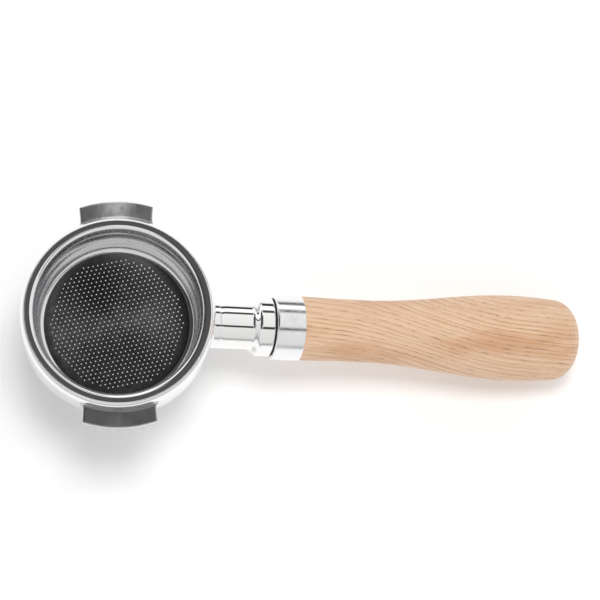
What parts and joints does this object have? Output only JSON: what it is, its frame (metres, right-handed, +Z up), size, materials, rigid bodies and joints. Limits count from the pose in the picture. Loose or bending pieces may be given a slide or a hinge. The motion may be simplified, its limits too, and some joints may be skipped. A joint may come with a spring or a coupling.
{
  "type": "portafilter",
  "caption": "Bottomless espresso portafilter: a ring-shaped filter holder with two locking lugs, a lift-out perforated basket and a drooping turned wooden handle that unscrews.",
  "frame": {"origin": "centre of the basket flange's top face, where the group head's gasket seats", "axes": "+Z up along the basket axis, out of the open basket; +X towards the handle, which droops below the XY plane; the locking lugs stand out along +Y and -Y"},
  "size_m": [0.2093, 0.083, 0.0596],
  "materials": {
    "holder_chrome": "mirror-polished ring with satin blasted lugs",
    "neck_chrome": "mirror polished",
    "washer_rubber": "black, matt",
    "ferrule_aluminium": "turned and polished",
    "grip_wood": "ash, oiled, satin",
    "insert_brass": "turned",
    "stud_steel": "zinc-plated thread",
    "basket_steel": "polished stainless sheet",
    "spring_steel": "drawn spring wire"
  },
  "bodies": {
    "holder": {"filter_holder": "holder_chrome", "neck": "neck_chrome"},
    "spring_ring": {"basket_spring": "spring_steel"},
    "basket": {"filter_basket": "basket_steel"},
    "thread_carriage": {"seal_washer": "washer_rubber"},
    "handle": {"ferrule": "ferrule_aluminium", "grip": "grip_wood", "grip_insert": "insert_brass", "handle_stud": "stud_steel"}
  },
  "joints": [
    {"name": "basket_turn", "type": "hinge", "parent": "holder", "child": "spring_ring", "pos_m": [0, 0, -0.0049], "axis": [0, 0, 1], "continuous": true},
    {"name": "basket_lift", "type": "slide", "parent": "spring_ring", "child": "basket", "axis": [0, 0, 1], "range_m": [0, 0.042], "deforming": ["basket_spring"]},
    {"name": "handle_back_off", "type": "slide", "parent": "holder", "child": "thread_carriage", "axis": [0.9848, 0, -0.1736], "range_m": [0, 0.00965]},
    {"name": "handle_turn", "type": "hinge", "parent": "thread_carriage", "child": "handle", "pos_m": [0, 0, -0.0156], "axis": [0.9848, 0, -0.1736], "range_deg": [0, 1980]}
  ],
  "couplings": [
    {"joint": "handle_back_off", "follows": "handle_turn", "m_per_rad": 0.00027852}
  ]
}
